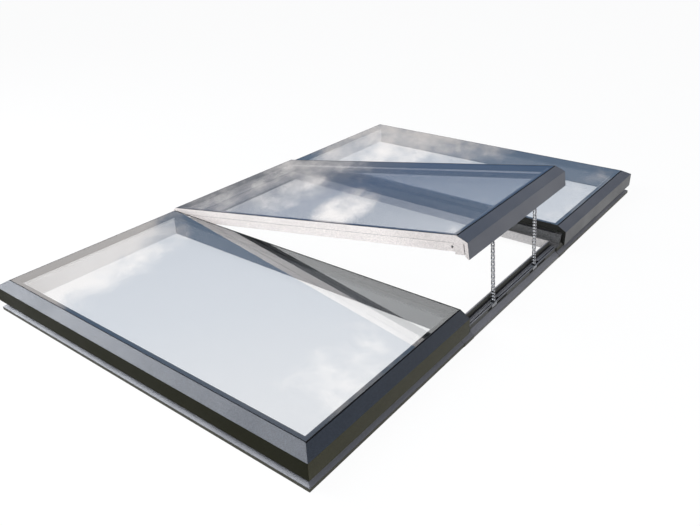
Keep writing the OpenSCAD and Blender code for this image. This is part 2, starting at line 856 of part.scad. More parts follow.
module bush_links(x) {
    color(silver) along_chain(x) {
        end_eye();
        for (i = [2 : 2 : links - 1]) bush_link(i);
    }
}
module pin_links(x) color(silver) along_chain(x) for (i = [1 : 2 : links - 1]) pin_link(i);
module chain_left_bush_links() bush_links(-chain_x);
module chain_left_pin_links() pin_links(-chain_x);
module chain_right_bush_links() bush_links(chain_x);
module chain_right_pin_links() pin_links(chain_x);

// Drive housings in the rail's chamber, with a pocket that takes the chain's foot
module chain_drives() {
    drive_out = bay_face_u - base_wall - 0.3;
    pocket_d = chain_pitch + plate_r + 3;
    color(black) on_front() for (x = [-chain_x, chain_x]) difference() {
        translate([x - drive_l / 2, -drive_out, base_wall])
            cube([drive_l, drive_w, drive_top - base_wall]);
        translate([x - slot_x - 0.5, -chain_u - slot_y - 0.5, drive_top - pocket_d])
            cube([2 * slot_x + 1, 2 * slot_y + 1, pocket_d + 1]);
    }
}

module chain_guides() {
    color(silver) on_front() for (x = [-chain_x, chain_x]) difference() {
        translate([x - guide_left, -bay_face_u, drive_top])
            cube([guide_left + guide_right, bay_face_u - guide_in, shelf_z + 0.5 - drive_top]);
        translate([x - slot_x, -chain_u - slot_y, drive_top - 1])
            cube([2 * slot_x, 2 * slot_y, shelf_z]);
    }
}

// Forked brackets under the sash's front rail
module bracket() {
    pin_z = lip_z - pin_drop;
    ear_out = ear_in + ear_t;
    plate_half = plate_r + 4;
    difference() {
        union() {
            translate([-bracket_l / 2, -chain_u - plate_half, lip_z - bracket_t])
                cube([bracket_l, 2 * plate_half, bracket_t]);
            for (side = [-1, 1]) translate([side * (ear_in + ear_t / 2), -chain_u, 0]) {
                translate([-ear_t / 2, -plate_r, pin_z]) cube([ear_t, 2 * plate_r, pin_drop - 1]);
                translate([-ear_t / 2, 0, pin_z]) rotate([0, 90, 0]) cylinder(r = plate_r, h = ear_t);
            }
        }
        translate([-2 * ear_out, -chain_u, pin_z]) rotate([0, 90, 0])
            cylinder(r = chain_pin_r + run_gap, h = 4 * ear_out);
    }
}

module chain_brackets() {
    color(silver) on_sash() on_front() for (x = [-chain_x, chain_x]) translate([x, 0, 0]) bracket();
}

module bracket_pins() {
    color(silver) on_sash() on_front() for (x = [-chain_x, chain_x])
        translate([x - ear_in - ear_t - 0.5, -chain_u, lip_z - pin_drop]) rotate([0, 90, 0])
            cylinder(r = chain_pin_r, h = 2 * (ear_in + ear_t) + 1);
}

base_front_left();
base_back_left();
base_end_left();
base_front_right();
base_back_right();
base_end_right();
base_front_centre();
base_back_centre();
mullion_left();
mullion_right();
joint_covers_front();
joint_covers_back();
liner_left();
liner_centre();
liner_right();
cap_front_left();
cap_back_left();
cap_end_left();
cap_front_right();
cap_back_right();
cap_end_right();
side_cap_left();
side_cap_right();
edge_seals();
pane_outer_left();
pane_outer_centre();
pane_outer_right();
spacer_left();
spacer_centre();
spacer_right();
pane_inner_left();
pane_inner_centre();
pane_inner_right();
gasket_left();
gasket_centre();
gasket_right();
glass_seal_left();
glass_seal_centre();
glass_seal_right();
sash_cap_front();
sash_cap_back();
sash_side_cap_left();
sash_side_cap_right();
sash_rail_front();
sash_rail_back();
sash_rail_left();
sash_rail_right();
sash_seal();
groove_seals();
hinge_base_leaves();
hinge_sash_leaves();
hinge_pins();
chain_left_pin_links();
chain_left_bush_links();
chain_right_pin_links();
chain_right_bush_links();
chain_drives();
chain_guides();
chain_brackets();
bracket_pins();
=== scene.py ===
# %% [markdown]
# # A roof skylight with an opening middle sash
# The solids of the skylight come from the CAD model and keep their place. This lesson gives them their
# finishes, makes rounded copies of the two chains, and sets up a plain studio. Every length is in metres,
# in the CAD model's own frame: X runs along the row of panes, -Y is the side where the sash opens, and Z
# is up.

# %% Load the CAD solids
import math
import bpy
from mathutils import Matrix, Vector


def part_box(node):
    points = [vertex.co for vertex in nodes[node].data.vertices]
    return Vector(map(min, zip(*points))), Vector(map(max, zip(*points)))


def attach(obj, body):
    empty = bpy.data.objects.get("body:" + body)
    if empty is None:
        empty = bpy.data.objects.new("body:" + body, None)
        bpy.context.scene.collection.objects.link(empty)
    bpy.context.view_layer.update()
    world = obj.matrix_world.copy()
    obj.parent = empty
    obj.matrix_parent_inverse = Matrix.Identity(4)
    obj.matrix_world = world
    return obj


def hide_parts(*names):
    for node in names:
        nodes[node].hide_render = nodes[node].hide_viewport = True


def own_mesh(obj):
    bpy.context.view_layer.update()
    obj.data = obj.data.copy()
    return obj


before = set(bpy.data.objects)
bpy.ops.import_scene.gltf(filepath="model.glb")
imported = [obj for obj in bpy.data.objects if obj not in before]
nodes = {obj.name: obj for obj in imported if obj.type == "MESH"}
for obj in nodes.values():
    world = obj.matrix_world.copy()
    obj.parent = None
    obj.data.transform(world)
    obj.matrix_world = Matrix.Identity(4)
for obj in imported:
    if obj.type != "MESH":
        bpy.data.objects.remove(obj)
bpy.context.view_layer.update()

scene = bpy.context.scene
scene.view_settings.view_transform = "Standard"

# %% [markdown]
# ## The camera
# The camera was found by fitting the straight edges of the three panes, so its place is given
# by an azimuth, an elevation, a small roll and a position. A rotation matrix whose columns are
# the camera's right, up and back directions turns those angles into Blender's own terms.

# %% Camera at the photograph's view
azimuth, elevation, roll = (math.radians(a) for a in (-51.340, 27.929, -1.798))
camera_place = (-2.1833, -1.6922, 1.3632)
focal_length_px = 682.49
photo_width_px = 700
sensor_width_mm = 36
back = Vector((math.sin(azimuth) * math.cos(elevation),
               -math.cos(azimuth) * math.cos(elevation), math.sin(elevation)))
level = Vector((math.cos(azimuth), math.sin(azimuth), 0))
upright = back.cross(level)
right = math.cos(roll) * level + math.sin(roll) * upright
up = -math.sin(roll) * level + math.cos(roll) * upright
turn = Matrix((right, up, back)).transposed().to_4x4()

camera_data = bpy.data.cameras.new("camera")
camera_data.sensor_width = sensor_width_mm
camera_data.lens = focal_length_px / photo_width_px * sensor_width_mm
camera = bpy.data.objects.new("camera", camera_data)
camera.matrix_world = Matrix.Translation(camera_place) @ turn
scene.collection.objects.link(camera)
scene.camera = camera
print("camera lens", round(camera_data.lens, 2), "mm")

# %% [markdown]
# ## A small kit for materials
# A finish is a tree of nodes. The first helpers start a tree, add a node to it, and feed a
# socket either with a constant or with a link. The next ones build the patterns that nearly
# every finish here needs, such as a fine grain and a slow drift of tone. They read Object
# coordinates, which are metres on these pieces. The last ones do sums and mix colours.

# %% Start a finish and feed its sockets
def new_finish(name):
    mat = bpy.data.materials.new(name)
    mat.use_nodes = True
    tree = mat.node_tree
    tree.nodes.clear()
    out = tree.nodes.new("ShaderNodeOutputMaterial")
    return mat, tree, out


def add(tree, kind, **values):
    node = tree.nodes.new(kind)
    for key, value in values.items():
        setattr(node, key, value)
    return node


def feed(tree, value, socket):
    if isinstance(value, (int, float)):
        socket.default_value = value
    elif isinstance(value, tuple):
        socket.default_value = value if socket.type == "VECTOR" else (*value, 1)
    else:
        tree.links.new(value, socket)


def feed_all(tree, node, values):
    for socket, value in values.items():
        feed(tree, value, node.inputs[socket])


print("helpers that start a finish are ready")

# %% Patterns
def place(tree):
    return add(tree, "ShaderNodeTexCoord").outputs["Object"]


def axes(tree, vector):
    node = add(tree, "ShaderNodeSeparateXYZ")
    feed(tree, vector, node.inputs["Vector"])
    return node.outputs


def noise(tree, where, scale, detail, rough):
    node = add(tree, "ShaderNodeTexNoise")
    feed_all(tree, node, {"Vector": where, "Scale": scale, "Detail": detail, "Roughness": rough})
    return node.outputs["Fac"]


def ramp(tree, value, stops, blending="LINEAR"):
    node = add(tree, "ShaderNodeValToRGB")
    feed(tree, value, node.inputs["Fac"])
    line = node.color_ramp
    line.interpolation = blending
    while len(line.elements) < len(stops):
        line.elements.new(0.5)
    for element, (at, colour) in zip(line.elements, stops):
        element.position = at
        element.color = (*colour, 1)
    return node.outputs["Color"]


def ranged(tree, value, start, end, low=0.0, high=1.0, blending="SMOOTHSTEP"):
    node = add(tree, "ShaderNodeMapRange", interpolation_type=blending)
    feed_all(tree, node, {"Value": value, "From Min": start, "From Max": end,
                          "To Min": low, "To Max": high})
    return node.outputs["Result"]


print("helpers for patterns are ready")

# %% Sums, colours and shaders
def calc(tree, operation, a, b=None):
    node = add(tree, "ShaderNodeMath", operation=operation)
    feed(tree, a, node.inputs[0])
    if b is not None:
        feed(tree, b, node.inputs[1])
    return node.outputs[0]


def vector_calc(tree, operation, a, b=None, result="Vector"):
    node = add(tree, "ShaderNodeVectorMath", operation=operation)
    feed(tree, a, node.inputs[0])
    if b is not None:
        feed(tree, b, node.inputs[1])
    return node.outputs[result]


def blend(tree, share, first, second, kind="MIX"):
    node = add(tree, "ShaderNodeMix", data_type="RGBA", blend_type=kind)
    feed_all(tree, node, {"Factor": share, "A": first, "B": second})
    return node.outputs["Result"]


def mix_shaders(tree, share, first, second):
    node = add(tree, "ShaderNodeMixShader")
    feed(tree, share, node.inputs["Fac"])
    feed(tree, first, node.inputs[1])
    feed(tree, second, node.inputs[2])
    return node.outputs["Shader"]


def roughen(tree, shader, height, strength, distance, normal=None):
    node = add(tree, "ShaderNodeBump")
    feed_all(tree, node, {"Strength": strength, "Distance": distance, "Height": height})
    if normal is not None:
        feed(tree, normal, node.inputs["Normal"])
    feed(tree, node.outputs["Normal"], shader.inputs["Normal"])


def grey(brightness):
    return (brightness, brightness, brightness)


def shade(colour, factor):
    return tuple(min(1.0, c * factor) for c in colour)


print("helpers for sums and colours are ready")

# %% [markdown]
# ## Places on the sash
# The sash stands open at rest, so its rails lie at a slant. Turning a point back about the
# hinge gives its place on the closed sash, where a seam or an edge is a plain height or depth.
# The sides of the sash lie more in the shade towards the front, so their tone falls off there.

# %% Places on the sash
hinge = (0, 0.778, 0.050)
open_angle = math.radians(10)
sash_depth = 1.6
fade_stops = [(0.0, grey(0.76)), (0.10, grey(0.80)), (0.22, grey(1.0))]


def closed_place(tree, where, angle):
    node = add(tree, "ShaderNodeVectorRotate", rotation_type="X_AXIS")
    feed_all(tree, node, {"Vector": where, "Center": hinge, "Angle": angle})
    return node.outputs["Vector"]


def front_fade(tree, at):
    # Zero at the front edge of the sash and one at the back
    from_front = calc(tree, "ADD", calc(tree, "DIVIDE", at["Y"], sash_depth), 0.5)
    return ramp(tree, from_front, fade_stops)


print("the sash is open by", round(math.degrees(open_angle)), "degrees about", hinge)

# %% [markdown]
# ## Marks on the coat
# Some pieces are not one tone all over. The faces that look up get their own colour, bluer and mostly
# paler than the upright faces, and shine more: painted sky light and its reflection. The side caps of the
# sash have a dark rim, and a thin dark seam where they meet the rail. The black seal lip along the caps'
# inner edge reflects nothing, and the hollow inside the front rail is painted black with no shine, as
# painted shade. Each mark is a share from zero to one, worked out from a place or from the way a face
# looks, so no piece has to be cut up for it.

# %% Marks on the coat
deep_black = grey(0.003)
top_light_starts = 0.05
top_light_is_full = 0.6
hair = 0.0004
lip_width = 0.002
seam_half_width = 0.0010
seam_z = 0.0975
seam_end_y = -0.72
shelf_z = 0.0424
rail_face_y = -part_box("chain_guides")[0][1]
seal_lip_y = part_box("gasket_left")[1][1] + lip_width


def facing(tree):
    return axes(tree, add(tree, "ShaderNodeNewGeometry").outputs["Normal"])


# Share of a face that gets the painted top light
def looks_up(tree):
    return ranged(tree, facing(tree)["Z"], top_light_starts, top_light_is_full)


def on_rim(tree):
    return calc(tree, "LESS_THAN", calc(tree, "ABSOLUTE", facing(tree)["X"]), 0.5)


def on_seam(tree, at):
    off_seam = calc(tree, "ABSOLUTE", calc(tree, "SUBTRACT", at["Z"], seam_z))
    near = calc(tree, "LESS_THAN", off_seam, seam_half_width)
    return calc(tree, "MULTIPLY", near, calc(tree, "GREATER_THAN", at["Y"], seam_end_y))


# The hollow inside the front rail is painted black with no shine: painted shade
def in_rail(tree, at):
    behind = calc(tree, "LESS_THAN", calc(tree, "ABSOLUTE", at["Y"]), rail_face_y - hair)
    return calc(tree, "MULTIPLY", behind, calc(tree, "LESS_THAN", at["Z"], shelf_z))


def on_seal_lip(tree, at):
    return calc(tree, "LESS_THAN", calc(tree, "ABSOLUTE", at["Y"]), seal_lip_y)


print("bay rail face at y", round(-rail_face_y, 4), "seal lip at y", round(-seal_lip_y, 4))

# %% [markdown]
# ## Powder coat
# The frame is coated aluminium. Such a coat has a fine grain that shows as speckle in flat
# light, a slightly uneven gloss, and no sharp edges. The grain is a noise of a few millimetres
# or less in both the colour and the bump. A Bevel node rounds the edges in the shading, so that
# corners catch a thin light line without changing the CAD mesh.

# %% Powder coat maker
fine_grain = 900.0
coarse_grain = 300.0
grain_depth = 0.0008
edge_radius = 0.0009


def powder_coat(name, colour, grain=0.12, gloss=0.42, bump=0.12, grain_size=fine_grain, shine=0.5,
                top_light_tone=None, top_light_shine=0.55, angle=0.0, fade=False, seam=False, rim_tone=None,
                black_part=None):
    mat, tree, out = new_finish(name)
    where = place(tree)
    at = axes(tree, closed_place(tree, where, angle))
    fine = noise(tree, where, grain_size, 3.0, 0.65)
    slow = noise(tree, where, 5.0, 3.0, 0.55)
    speckle = ramp(tree, fine, [(0.36, shade(colour, 1 - grain)), (0.5, colour),
                                (0.66, shade(colour, 1 + grain))])
    drift = ramp(tree, slow, [(0.3, grey(0.93)), (0.7, grey(1.0))])
    tone = blend(tree, 1.0, speckle, drift, "MULTIPLY")
    sheen = shine
    # Faces that look up get a bluer, mostly paler colour and more shine: painted sky light and its
    # reflection
    if top_light_tone:
        upward = looks_up(tree)
        dust_and_painted_top_light = ramp(tree, fine, [(0.38, shade(top_light_tone, 1 - grain)), (0.62, shade(top_light_tone, 1 + grain))])
        tone = blend(tree, upward, tone, dust_and_painted_top_light)
        sheen = ranged(tree, upward, 0.0, 1.0, shine, top_light_shine, "LINEAR")
    if fade:
        tone = blend(tree, 1.0, tone, front_fade(tree, at), "MULTIPLY")
    if seam:
        tone = blend(tree, on_seam(tree, at), tone, shade(colour, 0.10))
    if rim_tone:
        tone = blend(tree, on_rim(tree), tone, rim_tone)
    if black_part:
        share = black_part(tree, at)
        tone = blend(tree, share, tone, deep_black)
        sheen = calc(tree, "MULTIPLY", sheen, calc(tree, "SUBTRACT", 1.0, share))
    rough = ramp(tree, slow, [(0.3, grey(gloss - 0.05)), (0.7, grey(gloss + 0.06))])
    shader = add(tree, "ShaderNodeBsdfPrincipled")
    feed_all(tree, shader, {"Base Color": tone, "Specular IOR Level": sheen, "Roughness": rough})
    edge = add(tree, "ShaderNodeBevel", samples=4)
    feed(tree, edge_radius, edge.inputs["Radius"])
    roughen(tree, shader, fine, bump, grain_depth, edge.outputs["Normal"])
    feed(tree, shader.outputs["BSDF"], out.inputs["Surface"])
    return mat


print("grain noise:", fine_grain, "and", coarse_grain, "to the metre")

# %% [markdown]
# ## Dark coats
# The frame is dark grey. Its left end, front, right end and sash take the light differently in the
# photograph, so each has a coat of its own: a lit or shaded copy of the same dark grey, which is painted
# light and shade. The coats of the base, its middle rail and the mullion are such copies too. Most have
# one colour for upright faces, where the olive tint of some is a painted reflection of a dark ground, and
# one for the faces that look up, painted as sky light.

# %% Dark coats
# Lit and shaded copies of one dark grey coat: painted light and shade
cap_coat = powder_coat("cap_coat", (0.026, 0.0245, 0.0110), grain=0.4, gloss=0.36, bump=0.8,
                       grain_size=coarse_grain, shine=0.07, top_light_tone=(0.021, 0.025, 0.032),
                       top_light_shine=0.6, black_part=on_seal_lip)
end_coat = powder_coat("end_coat", (0.0105, 0.0105, 0.0042), grain=0.5, gloss=0.36, bump=1.0,
                       grain_size=coarse_grain, shine=0.02, top_light_tone=(0.024, 0.028, 0.036),
                       top_light_shine=0.5)
side_coat = powder_coat("side_coat", (0.014, 0.014, 0.0115), grain=0.4, gloss=0.36, bump=0.8,
                        grain_size=coarse_grain, shine=0.14, top_light_tone=(0.024, 0.024, 0.022),
                        top_light_shine=0.4)
sash_coat = powder_coat("sash_coat", (0.042, 0.046, 0.062), grain=0.3, gloss=0.36, bump=0.5,
                        grain_size=coarse_grain, shine=0.5, top_light_tone=(0.030, 0.040, 0.059),
                        top_light_shine=0.75, angle=open_angle, black_part=on_seal_lip)
right_coat = powder_coat("right_coat", (0.025, 0.0262, 0.0295), grain=0.3, gloss=0.36, bump=0.5,
                         grain_size=coarse_grain, shine=0.4, top_light_tone=(0.036, 0.045, 0.064),
                         top_light_shine=0.75, black_part=on_seal_lip)
base_coat = powder_coat("base_coat", (0.034, 0.033, 0.021), grain=0.2, gloss=0.40, shine=0.12,
                        top_light_tone=(0.101, 0.101, 0.111), top_light_shine=0.61)
rail_coat = powder_coat("rail_coat", (0.060, 0.059, 0.052), grain=0.2, gloss=0.40, shine=0.25,
                        top_light_tone=(0.132, 0.131, 0.142), top_light_shine=0.70, black_part=in_rail)
mullion_coat = powder_coat("mullion_coat", (0.100, 0.096, 0.094), grain=0.6, gloss=0.55,
                           bump=0.35, grain_size=coarse_grain, shine=0.25)
dark_coats = (cap_coat, end_coat, side_coat, sash_coat, right_coat, base_coat, rail_coat,
              mullion_coat)
print("dark coats:", [m.name for m in dark_coats])

# %% [markdown]
# ## Light coats
# The sides and rails of the sash and the walls of the bays are off-white, so that daylight is thrown down
# into the room. The walls of the bay under the sash have a darker copy of that off-white: painted shade.
# The speckle of the coat shows more on them than on the dark pieces.

# %% Light coats
sash_white = (0.77, 0.695, 0.640)
light_coat = powder_coat("light_coat", sash_white, grain=0.18, gloss=0.5, bump=0.35,
                         grain_size=coarse_grain, fade=True)
seam_coat = powder_coat("seam_coat", sash_white, grain=0.18, gloss=0.5, bump=0.35,
                        grain_size=coarse_grain, angle=open_angle, fade=True, seam=True,
                        rim_tone=(0.034, 0.040, 0.053))
# The walls of the bay under the sash: the liners' off-white, painted darker as painted shade
shaded_bay_coat = powder_coat("shaded_bay_coat", (0.47, 0.430, 0.405), grain=0.30, gloss=0.55, bump=0.35,
                       grain_size=coarse_grain)
liner_coat = powder_coat("liner_coat", (0.80, 0.745, 0.715), grain=0.05, gloss=0.45, bump=0.08)
print("light coats:", [m.name for m in (light_coat, seam_coat, shaded_bay_coat, liner_coat)])

# %% [markdown]
# ## Rubber seals
# The seals are black rubber. It is not quite black: it has a soft bloom, with a little dust in patches,
# and a broad dull shine. The drives' plastic and the black spacers of the fixed bays look much the same,
# so the same maker gives all three.

# %% Rubber
def rubber(name, colour):
    mat, tree, out = new_finish(name)
    where = place(tree)
    dust_and_painted_top_light = noise(tree, where, 60.0, 4.0, 0.6)
    pores = noise(tree, where, 1500.0, 2.0, 0.5)
    shader = add(tree, "ShaderNodeBsdfPrincipled")
    tone = ramp(tree, dust_and_painted_top_light, [(0.35, colour), (0.75, shade(colour, 2.2))])
    rough = ramp(tree, dust_and_painted_top_light, [(0.3, grey(0.55)), (0.7, grey(0.72))])
    feed_all(tree, shader, {"Base Color": tone, "Specular IOR Level": 0.12, "Roughness": rough})
    roughen(tree, shader, pores, 0.15, 0.0003)
    feed(tree, shader.outputs["BSDF"], out.inputs["Surface"])
    return mat


seal_rubber = rubber("seal_rubber", (0.012, 0.012, 0.013))
drive_plastic = rubber("drive_plastic", (0.016, 0.016, 0.018))
spacer_black = rubber("spacer_black", (0.020, 0.020, 0.021))
print("rubber:", seal_rubber.name, drive_plastic.name, spacer_black.name)

# %% [markdown]
# ## Bright metal
# The chain's guide, its brackets and the hinges are plated steel. The plating has fine
# scratches along no fixed direction, and the roughness follows them, so the shine is broken up.

# %% Plated steel
def plated_steel(name, colour, smooth, worn):
    mat, tree, out = new_finish(name)
    where = place(tree)
    wear = noise(tree, where, 240.0, 5.0, 0.65)
    drift = noise(tree, where, 45.0, 2.0, 0.5)
    shader = add(tree, "ShaderNodeBsdfPrincipled")
    tone = ramp(tree, drift, [(0.3, shade(colour, 0.82)), (0.7, colour)])
    rough = ramp(tree, wear, [(0.3, grey(smooth)), (0.7, grey(worn))])
    feed_all(tree, shader, {"Base Color": tone, "Metallic": 1, "Roughness": rough})
    roughen(tree, shader, wear, 0.1, 0.0002)
    feed(tree, shader.outputs["BSDF"], out.inputs["Surface"])
    return mat


guide_metal = plated_steel("guide_metal", (0.42, 0.43, 0.45), 0.35, 0.55)
hinge_steel = plated_steel("hinge_steel", (0.62, 0.63, 0.65), 0.28, 0.48)
print("metal:", guide_metal.name, hinge_steel.name)

# %% [markdown]
# ## Glass
# Each unit has two panes. A pane bends what is seen through it and mirrors more of the sky the
# flatter one looks at it. A coated double unit mirrors two or three times as much as a single
# sheet, so the Fresnel share is raised, on the outer side only. For lamps and for light that
# bounces about, the pane is plainly transparent, because bent light paths would stay noisy.

# %% Glass maker
glass_ior = 1.5


def pane_glass(name, tint, mirror_ior, gain, let_through):
    mat, tree, out = new_finish(name)
    bent = add(tree, "ShaderNodeBsdfRefraction")
    feed_all(tree, bent, {"Color": tint, "Roughness": 0, "IOR": glass_ior})
    streak = noise(tree, place(tree), 3.0, 2.0, 0.5)
    gloss = add(tree, "ShaderNodeBsdfGlossy")
    rough = ramp(tree, streak, [(0.35, grey(0.0)), (0.75, grey(0.03))])
    feed(tree, rough, gloss.inputs["Roughness"])
    share = add(tree, "ShaderNodeFresnel")
    feed(tree, mirror_ior, share.inputs["IOR"])
    raised = calc(tree, "MINIMUM", calc(tree, "MULTIPLY", share.outputs["Fac"], gain), 1.0)
    inside = add(tree, "ShaderNodeNewGeometry").outputs["Backfacing"]
    mirror = calc(tree, "MULTIPLY", raised, calc(tree, "SUBTRACT", 1.0, inside))
    seen = mix_shaders(tree, mirror, bent.outputs["BSDF"], gloss.outputs["BSDF"])
    clear = add(tree, "ShaderNodeBsdfTransparent")
    feed(tree, let_through, clear.inputs["Color"])
    path = add(tree, "ShaderNodeLightPath").outputs
    lights_up = calc(tree, "MAXIMUM", path["Is Shadow Ray"], path["Is Diffuse Ray"])
    feed(tree, mix_shaders(tree, lights_up, seen, clear.outputs["BSDF"]), out.inputs["Surface"])
    return mat


outer_glass = pane_glass("outer_glass", (0.99, 0.985, 0.995), 2.0, 2.2, (0.93, 0.94, 0.94))
inner_glass = pane_glass("inner_glass", (0.985, 0.995, 0.99), 1.5, 1.0, (0.96, 0.97, 0.97))
print("glass:", outer_glass.name, inner_glass.name)

# %% [markdown]
# ## Two-tone pieces
# The walls of the fixed bays are light at the front and back and dark along the sides, and the sash's side
# rails are light outside and dark inside. One solid carries both tones, as a painted or foiled profile
# would, so the material finds the dark part by its place. The small vent hole near the front of each side
# rail is painted black inside, with no shine: painted shade in the hole.

# %% Two-tone finish
painted_hole_shade = grey(0.002)
plain_shine = 0.5


def two_tone(name, light, dark, dark_part, grain, grain_size, fade=False, hole=None):
    mat, tree, out = new_finish(name)
    where = place(tree)
    at = axes(tree, where)
    fine = noise(tree, where, grain_size, 3.0, 0.6)
    slow = noise(tree, where, 5.0, 3.0, 0.55)
    pale = ramp(tree, fine, [(0.36, shade(light, 1 - grain)), (0.66, shade(light, 1 + grain))])
    if fade:
        pale = blend(tree, 1.0, pale, front_fade(tree, at), "MULTIPLY")
    deep = ramp(tree, fine, [(0.3, shade(dark, 0.8)), (0.7, shade(dark, 1.2))])
    tone = blend(tree, dark_part(tree, at), pale, deep)
    sheen = plain_shine
    # The vent hole is painted black with no shine: painted shade
    if hole:
        in_hole = hole(tree, at)
        tone = blend(tree, in_hole, tone, painted_hole_shade)
        sheen = calc(tree, "SUBTRACT", sheen, calc(tree, "MULTIPLY", in_hole, sheen))
    rough = ramp(tree, slow, [(0.3, grey(0.45)), (0.7, grey(0.55))])
    shader = add(tree, "ShaderNodeBsdfPrincipled")
    feed_all(tree, shader, {"Base Color": tone, "Specular IOR Level": sheen, "Roughness": rough})
    roughen(tree, shader, fine, 0.2, 0.0005)
    feed(tree, shader.outputs["BSDF"], out.inputs["Surface"])
    return mat


print("two-tone finish is ready")

# %% Walls of the fixed bays and side rails of the sash
low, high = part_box("liner_left")
bay_middle = -(low[0] + high[0]) / 2
half_x = (high[0] - low[0]) / 2
half_y = (high[1] - low[1]) / 2
rail_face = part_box("sash_rail_right")[1][0]
vent_y = -0.6992
vent_z = 0.3450
vent_radius = 0.0040


def side_wall(tree, at):
    from_middle = calc(tree, "SUBTRACT", calc(tree, "ABSOLUTE", at["X"]), bay_middle)
    to_side = calc(tree, "SUBTRACT", half_x, calc(tree, "ABSOLUTE", from_middle))
    to_end = calc(tree, "SUBTRACT", half_y, calc(tree, "ABSOLUTE", at["Y"]))
    return calc(tree, "LESS_THAN", to_side, to_end)


def inside_rail(tree, at):
    return calc(tree, "LESS_THAN", calc(tree, "ABSOLUTE", at["X"]), rail_face - hair)


def inside_vent(tree, at):
    off_y = calc(tree, "SUBTRACT", at["Y"], vent_y)
    off_z = calc(tree, "SUBTRACT", at["Z"], vent_z)
    square = calc(tree, "ADD", calc(tree, "MULTIPLY", off_y, off_y),
                  calc(tree, "MULTIPLY", off_z, off_z))
    return calc(tree, "LESS_THAN", square, (vent_radius + hair) ** 2)


side_liner = two_tone("side_liner", (0.79, 0.735, 0.695), (0.050, 0.052, 0.056), side_wall,
                      0.03, fine_grain)
side_rail = two_tone("side_rail", sash_white, (0.045, 0.046, 0.048), inside_rail,
                     0.18, coarse_grain, fade=True, hole=inside_vent)
print("two-tone:", side_liner.name, side_rail.name)

# %% [markdown]
# ## Spacer of the sash
# The spacer holds the two panes of a unit apart. In the fixed bays it is black all round. In the sash it
# is dull grey, painted black along the far sides as painted shade, which is again found by place.

# %% Spacer of the sash
spacer_width = 0.0065
spacer_far = (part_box("spacer_centre")[1][0] - spacer_width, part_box("spacer_left")[1][1] - spacer_width)


def spacer_bar(name, light, dark):
    mat, tree, out = new_finish(name)
    where = place(tree)
    at = axes(tree, closed_place(tree, where, open_angle))
    far_x, far_y = (calc(tree, "GREATER_THAN", at[axis], edge) for axis, edge in zip("XY", spacer_far))
    brushed = noise(tree, where, 300.0, 3.0, 0.6)
    pale = ramp(tree, brushed, [(0.3, shade(light, 0.9)), (0.7, light)])
    deep = ramp(tree, brushed, [(0.3, shade(dark, 0.8)), (0.7, shade(dark, 1.2))])
    # The far sides are painted black: painted shade
    tone = blend(tree, calc(tree, "MAXIMUM", far_x, far_y), pale, deep)
    rough = ramp(tree, brushed, [(0.3, grey(0.4)), (0.7, grey(0.55))])
    shader = add(tree, "ShaderNodeBsdfPrincipled")
    feed_all(tree, shader, {"Base Color": tone, "Roughness": rough})
    feed(tree, shader.outputs["BSDF"], out.inputs["Surface"])
    return mat


sash_spacer = spacer_bar("sash_spacer", (0.22, 0.22, 0.23), (0.035, 0.034, 0.034))
print("spacer:", sash_spacer.name, "black beyond", [round(v, 4) for v in spacer_far])

# %% [markdown]
# ## Give every solid its finish
# The CAD solids keep their shape and only get a material. A table of name beginnings says
# which finish goes where. The first row that fits is used, and the loop stops with an error if
# a solid is left without one.

# %% Finishes for the solids
finish_of = [
    ("base_front_centre", rail_coat), ("base_", base_coat), ("mullion_", mullion_coat),
    ("joint_covers_", base_coat), ("liner_centre", shaded_bay_coat), ("liner_", side_liner),
    ("cap_end_", end_coat), ("cap_front_right", right_coat), ("cap_", cap_coat),
    ("side_cap_", side_coat), ("sash_cap_", sash_coat), ("sash_side_cap_", seam_coat),
    ("sash_rail_left", side_rail), ("sash_rail_right", side_rail), ("sash_rail_", light_coat),
    ("sash_seal", seal_rubber), ("edge_seals", seal_rubber), ("gasket_", seal_rubber),
    ("glass_seal_centre", liner_coat), ("glass_seal_", side_liner),
    ("groove_seals", seal_rubber), ("spacer_centre", sash_spacer), ("spacer_", spacer_black),
    ("pane_outer_", outer_glass), ("pane_inner_", inner_glass), ("hinge_", hinge_steel),
    ("chain_drives", drive_plastic), ("chain_guides", guide_metal),
    ("chain_brackets", hinge_steel), ("bracket_pins", hinge_steel), ("chain_", hinge_steel),
]
for name, solid in nodes.items():
    coat = next(m for start, m in finish_of if name.startswith(start))
    solid.data.materials.clear()
    solid.data.materials.append(coat)
print("finished solids:", len(nodes))

# %% [markdown]
# ## Metal of the chains
# A chain has bright bushes and pins between two rows of duller plates. From a distance it reads as bright
# links with dark gaps between them. The gaps are only a millimetre or two wide, so the finish paints their
# shade in by place: a dark line inside each row of plates, and a dark stretch halfway between one pin and
# the next, both painted shade. The distance along the chain, divided by the pitch of the links, says how
# far the next pin is.

# %% Metal of the chains
foot = Vector((0, -0.757, 0.040))
top = Vector((0, -0.7332, 0.3165))
chain_line = (top - foot).normalized()
chain_side = Vector((0, chain_line.z, -chain_line.y))
pitch = 0.0127
pin_link_inner = 0.00465
bush_link_inner = 0.0030
gap_from = 0.5 - 0.1 / 6
plate_from = 0.5 + 0.3 / 6


